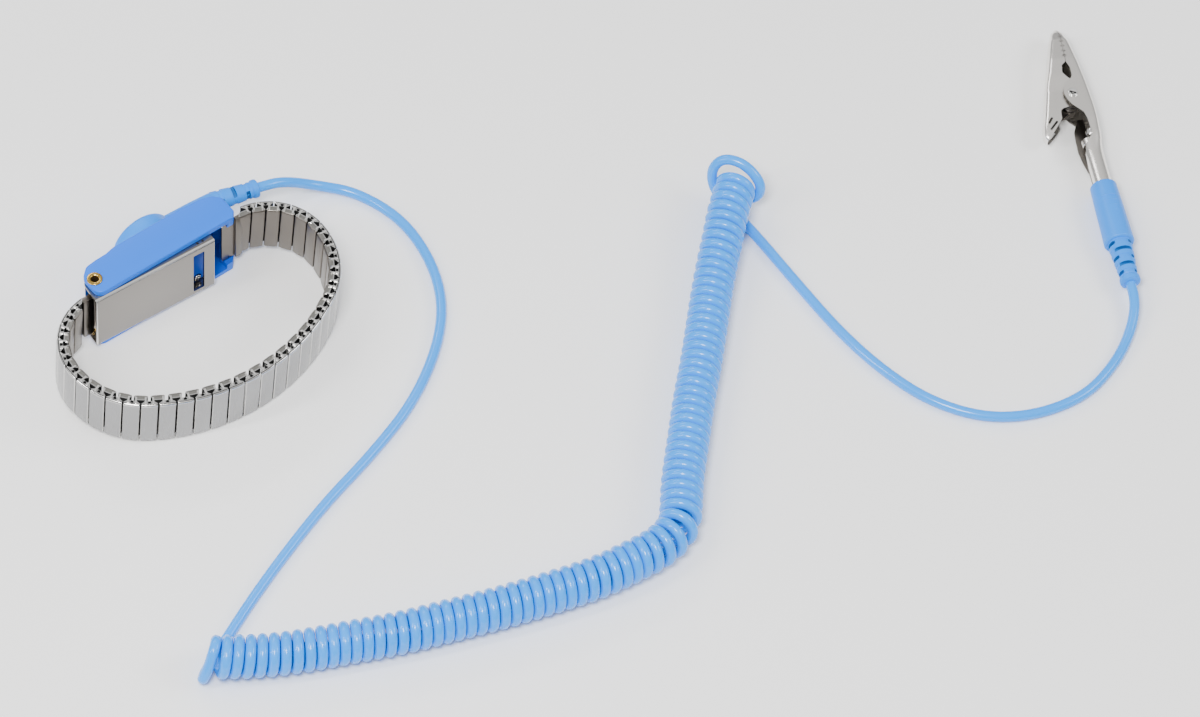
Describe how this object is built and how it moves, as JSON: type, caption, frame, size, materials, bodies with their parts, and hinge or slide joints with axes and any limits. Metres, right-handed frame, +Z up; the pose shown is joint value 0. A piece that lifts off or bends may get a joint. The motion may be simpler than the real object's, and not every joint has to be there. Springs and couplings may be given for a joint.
{
  "type": "esd wrist strap",
  "caption": "Antistatic wrist strap: an expansion link wristband in a hinged clasp housing, with a press-stud curly cord ending in a banana plug and an alligator clip",
  "frame": {"origin": "on the floor under the centre of the wrist unit (wristband, clasp housing and snap connector), cord and clip left out", "axes": "+Z up, +X along the clasp housing from its hinge eyelet to the cord's exit, +Y away from the wrist, the side the snap connector sits on"},
  "size_m": [0.2997, 0.1755, 0.0224],
  "materials": {
    "housing_plastic": "smooth moulded blue, semi-gloss",
    "cord_plastic": "smooth extruded and moulded light blue, glossy",
    "stainless": "satin, polished on the bent edges",
    "brass": "polished",
    "nickel": "bright nickel plate",
    "spring_steel": "drawn wire",
    "resistor_body": "matte coating"
  },
  "bodies": {
    "wristband": {"housing": "housing_plastic", "hinge_eyelet": "brass", "snap_stud": "nickel", "contact_strip": "stainless", "clamp_block": "housing_plastic", "clamp_rivet": "nickel", "band_end_left": "stainless", "band_end_right": "stainless", "outer_links_fixed": "stainless", "inner_links_fixed": "stainless", "staples_fixed": "stainless"},
    "cover": {"cover_plate": "stainless"},
    "band_far": {"outer_links_far": "stainless", "inner_links_far": "stainless", "staples_far": "stainless"},
    "cord_set": {"snap_connector": "cord_plastic", "snap_socket": "nickel", "series_resistor": "resistor_body", "strain_relief_wrist": "cord_plastic", "cord_lead_wrist": "cord_plastic", "cord_coil": "cord_plastic", "cord_lead_clip": "cord_plastic", "strain_relief_clip": "cord_plastic", "clip_handle": "cord_plastic", "banana_plug": "nickel", "banana_spring": "nickel"},
    "clip": {"clip_jaw_fixed": "nickel", "clip_pin": "nickel", "clip_spring": "spring_steel", "terminal_screw": "nickel"},
    "clip_jaw": {"clip_jaw_moving": "nickel", "spring_arm": "spring_steel"},
    "band_left_1": {"outer_links_left_1": "stainless", "inner_links_left_1": "stainless"},
    "band_left_2": {"outer_links_left_2": "stainless", "inner_links_left_2": "stainless"},
    "band_left_3": {"outer_links_left_3": "stainless", "inner_links_left_3": "stainless"},
    "band_left_4": {"outer_links_left_4": "stainless", "inner_links_left_4": "stainless"},
    "band_left_5": {"outer_links_left_5": "stainless", "inner_links_left_5": "stainless"},
    "band_left_6": {"outer_links_left_6": "stainless", "inner_links_left_6": "stainless"},
    "band_right_1": {"outer_links_right_1": "stainless", "inner_links_right_1": "stainless"},
    "band_right_2": {"outer_links_right_2": "stainless", "inner_links_right_2": "stainless"},
    "band_right_3": {"outer_links_right_3": "stainless", "inner_links_right_3": "stainless"},
    "band_right_4": {"outer_links_right_4": "stainless", "inner_links_right_4": "stainless"},
    "band_right_5": {"outer_links_right_5": "stainless", "inner_links_right_5": "stainless"},
    "band_right_6": {"outer_links_right_6": "stainless", "inner_links_right_6": "stainless"}
  },
  "joints": [
    {"name": "cover_hinge", "type": "hinge", "parent": "wristband", "child": "cover", "pos_m": [-0.0189, 0.0165, 0.011], "axis": [0, 0, -1], "range_deg": [-2.85, 30]},
    {"name": "band_stretch", "type": "slide", "parent": "wristband", "child": "band_far", "axis": [0, -1, 0], "range_m": [0, 0.007], "stiffness_N_per_m": 150},
    {"name": "band_left_1_stretch", "type": "slide", "parent": "wristband", "child": "band_left_1", "axis": [0, -1, 0], "range_m": [0, 0.0011]},
    {"name": "band_left_2_stretch", "type": "slide", "parent": "wristband", "child": "band_left_2", "axis": [0, -1, 0], "range_m": [0, 0.0021]},
    {"name": "band_left_3_stretch", "type": "slide", "parent": "wristband", "child": "band_left_3", "axis": [0, -1, 0], "range_m": [0, 0.0031]},
    {"name": "band_left_4_stretch", "type": "slide", "parent": "wristband", "child": "band_left_4", "axis": [0, -1, 0], "range_m": [0, 0.0041]},
    {"name": "band_left_5_stretch", "type": "slide", "parent": "wristband", "child": "band_left_5", "axis": [0, -1, 0], "range_m": [0, 0.0051]},
    {"name": "band_left_6_stretch", "type": "slide", "parent": "wristband", "child": "band_left_6", "axis": [0, -1, 0], "range_m": [0, 0.0061]},
    {"name": "band_right_1_stretch", "type": "slide", "parent": "wristband", "child": "band_right_1", "axis": [0, -1, 0], "range_m": [0, 0.0011]},
    {"name": "band_right_2_stretch", "type": "slide", "parent": "wristband", "child": "band_right_2", "axis": [0, -1, 0], "range_m": [0, 0.0021]},
    {"name": "band_right_3_stretch", "type": "slide", "parent": "wristband", "child": "band_right_3", "axis": [0, -1, 0], "range_m": [0, 0.0031]},
    {"name": "band_right_4_stretch", "type": "slide", "parent": "wristband", "child": "band_right_4", "axis": [0, -1, 0], "range_m": [0, 0.0041]},
    {"name": "band_right_5_stretch", "type": "slide", "parent": "wristband", "child": "band_right_5", "axis": [0, -1, 0], "range_m": [0, 0.0051]},
    {"name": "band_right_6_stretch", "type": "slide", "parent": "wristband", "child": "band_right_6", "axis": [0, -1, 0], "range_m": [0, 0.0061]},
    {"name": "snap_release", "type": "slide", "parent": "wristband", "child": "cord_set", "axis": [0, 1, 0], "range_m": [0, 0.008]},
    {"name": "clip_pull_off", "type": "slide", "parent": "cord_set", "child": "clip", "axis": [0.4772, 0.8788, 0], "range_m": [0, 0.02]},
    {"name": "clip_jaw_hinge", "type": "hinge", "parent": "clip", "child": "clip_jaw", "pos_m": [0.22649, -0.07514, 0.00415], "axis": [0, 0, 1], "range_deg": [0, 22], "stiffness_Nm_per_rad": 0.02, "springref_deg": -20.05}
  ],
  "couplings": [
    {"joint": "band_left_1_stretch", "follows": "band_stretch", "ratio": 0.14286},
    {"joint": "band_left_2_stretch", "follows": "band_stretch", "ratio": 0.28571},
    {"joint": "band_left_3_stretch", "follows": "band_stretch", "ratio": 0.42857},
    {"joint": "band_left_4_stretch", "follows": "band_stretch", "ratio": 0.57143},
    {"joint": "band_left_5_stretch", "follows": "band_stretch", "ratio": 0.71429},
    {"joint": "band_left_6_stretch", "follows": "band_stretch", "ratio": 0.85714},
    {"joint": "band_right_1_stretch", "follows": "band_stretch", "ratio": 0.14286},
    {"joint": "band_right_2_stretch", "follows": "band_stretch", "ratio": 0.28571},
    {"joint": "band_right_3_stretch", "follows": "band_stretch", "ratio": 0.42857},
    {"joint": "band_right_4_stretch", "follows": "band_stretch", "ratio": 0.57143},
    {"joint": "band_right_5_stretch", "follows": "band_stretch", "ratio": 0.71429},
    {"joint": "band_right_6_stretch", "follows": "band_stretch", "ratio": 0.85714}
  ]
}
